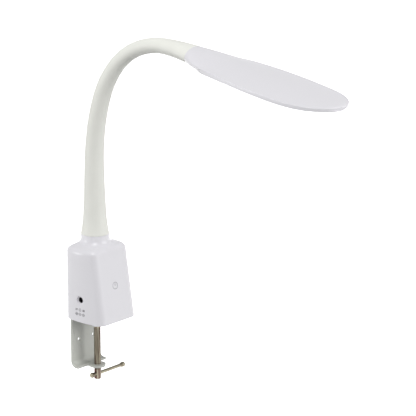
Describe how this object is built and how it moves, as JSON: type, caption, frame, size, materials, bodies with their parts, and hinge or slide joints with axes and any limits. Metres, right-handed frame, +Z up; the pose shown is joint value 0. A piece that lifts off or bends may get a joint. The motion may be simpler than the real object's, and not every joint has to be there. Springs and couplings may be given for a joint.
{
  "type": "desk lamp",
  "caption": "Clamp-on gooseneck LED desk lamp with a long paddle head, push button and DC socket on a white housing.",
  "frame": {"origin": "on the axis of the clamp screw, at the lower face of the jaw pad that rests on the table top", "axes": "+Z up along the clamp screw; -Y the way the lamp head reaches; -X the side with the DC socket"},
  "size_m": [0.0889, 0.3734, 0.4159],
  "materials": {
    "gloss_white_plastic": "gloss moulded",
    "white_plastic": "fine spark texture",
    "zinc_plated_steel": "zinc plated",
    "painted_steel": "light grey powder coat",
    "grey_rubber": "matte",
    "passivated_steel": "yellow passivated, rolled thread",
    "nickel_steel": "nickel plated",
    "black_plastic": "satin",
    "tinned_brass": "bright tinned",
    "circuit_laminate": "solder resist",
    "lead_insulation": "satin insulation",
    "cream_silicone": "satin moulded silicone",
    "coiled_steel": "coiled strip",
    "opal_plastic": "opal diffusing",
    "board_aluminium": "white solder resist",
    "led_phosphor": "phosphor",
    "zinc_block": "die cast"
  },
  "bodies": {
    "clamp_base": {"housing_shell": "gloss_white_plastic", "base_cover": "white_plastic", "base_cover_screws": "zinc_plated_steel", "clamp_bracket": "painted_steel", "bracket_screws": "zinc_plated_steel", "bracket_nuts": "zinc_plated_steel", "jaw_pad": "grey_rubber", "tactile_switch": "black_plastic", "control_board": "circuit_laminate", "board_components": "black_plastic", "board_screws": "zinc_plated_steel", "dc_socket": "black_plastic", "dc_socket_pin": "tinned_brass", "socket_board": "circuit_laminate", "socket_board_screws": "zinc_plated_steel", "supply_leads": "lead_insulation", "neck_sleeve_1": "cream_silicone", "neck_core_1": "coiled_steel", "neck_leads_1": "lead_insulation", "neck_ferrule": "zinc_plated_steel", "neck_washer": "zinc_plated_steel", "neck_nut": "zinc_plated_steel"},
    "pressure_foot": {"pressure_pad": "zinc_plated_steel", "pad_facing": "grey_rubber"},
    "clamp_spindle": {"clamp_screw": "passivated_steel"},
    "cross_bar": {"tommy_bar": "nickel_steel", "bar_end_caps": "nickel_steel"},
    "button": {"power_button": "gloss_white_plastic", "switch_plunger": "black_plastic"},
    "neck_link_2": {"neck_sleeve_2": "cream_silicone", "neck_core_2": "coiled_steel", "neck_leads_2": "lead_insulation"},
    "neck_link_3": {"neck_sleeve_3": "cream_silicone", "neck_core_3": "coiled_steel", "neck_leads_3": "lead_insulation"},
    "neck_link_4": {"neck_sleeve_4": "cream_silicone", "neck_core_4": "coiled_steel", "neck_leads_4": "lead_insulation"},
    "neck_link_5": {"neck_sleeve_5": "cream_silicone", "neck_core_5": "coiled_steel", "neck_leads_5": "lead_insulation"},
    "neck_link_6": {"neck_sleeve_6": "cream_silicone", "neck_core_6": "coiled_steel", "neck_leads_6": "lead_insulation"},
    "neck_link_7": {"neck_sleeve_7": "cream_silicone", "neck_core_7": "coiled_steel", "neck_leads_7": "lead_insulation"},
    "lamp_head": {"neck_sleeve_8": "cream_silicone", "neck_core_8": "coiled_steel", "neck_leads_8": "lead_insulation", "head_top_cover": "gloss_white_plastic", "head_bottom_frame": "gloss_white_plastic", "diffuser": "opal_plastic", "led_board": "board_aluminium", "leds": "led_phosphor", "head_screws": "zinc_plated_steel", "neck_clamp_block": "zinc_block"}
  },
  "joints": [
    {"name": "button_press", "type": "slide", "parent": "clamp_base", "child": "button", "axis": [0, 0.9882, -0.153], "range_m": [0, 0.0008], "stiffness_N_per_m": 900, "springref_m": -0.0006},
    {"name": "clamp_pad_slide", "type": "slide", "parent": "clamp_base", "child": "pressure_foot", "axis": [0, 0, 1], "range_m": [-0.0461, 0]},
    {"name": "clamp_screw_turn", "type": "hinge", "parent": "pressure_foot", "child": "clamp_spindle", "pos_m": [0, 0, -0.04], "axis": [0, 0, 1], "range_deg": [-13248, 0]},
    {"name": "clamp_tommy_bar_slide", "type": "slide", "parent": "clamp_spindle", "child": "cross_bar", "axis": [1, 0, 0], "range_m": [-0.0345, 0.0012]},
    {"name": "neck_bend_1_sideways", "type": "hinge", "parent": "clamp_base", "child": "neck_link_2", "pos_m": [0, 0.0015, 0.129], "axis": [0, 1, 0], "range_deg": [-25, 25]},
    {"name": "neck_bend_2_forward", "type": "hinge", "parent": "neck_link_2", "child": "neck_link_3", "pos_m": [0, 0.0015, 0.174], "axis": [1, 0, 0], "range_deg": [-25, 25]},
    {"name": "neck_bend_3_sideways", "type": "hinge", "parent": "neck_link_3", "child": "neck_link_4", "pos_m": [0, -0.00164, 0.21889], "axis": [0, 0.9903, 0.1392], "range_deg": [-30, 30]},
    {"name": "neck_bend_4_forward", "type": "hinge", "parent": "neck_link_4", "child": "neck_link_5", "pos_m": [0, -0.01253, 0.26255], "axis": [1, 0, 0], "range_deg": [-40, 20]},
    {"name": "neck_bend_5_forward", "type": "hinge", "parent": "neck_link_5", "child": "neck_link_6", "pos_m": [0, -0.03587, 0.30102], "axis": [1, 0, 0], "range_deg": [-45, 15]},
    {"name": "neck_bend_6_sideways", "type": "hinge", "parent": "neck_link_6", "child": "neck_link_7", "pos_m": [0, -0.07069, 0.32451], "axis": [0, 0.3502, 0.9367], "range_deg": [-35, 35]},
    {"name": "neck_bend_7_forward", "type": "hinge", "parent": "neck_link_7", "child": "lamp_head", "pos_m": [0, -0.11017, 0.33094], "axis": [1, 0, 0], "range_deg": [-50, 15]}
  ],
  "couplings": [
    {"joint": "clamp_pad_slide", "follows": "clamp_screw_turn", "m_per_rad": 0.00019894}
  ]
}
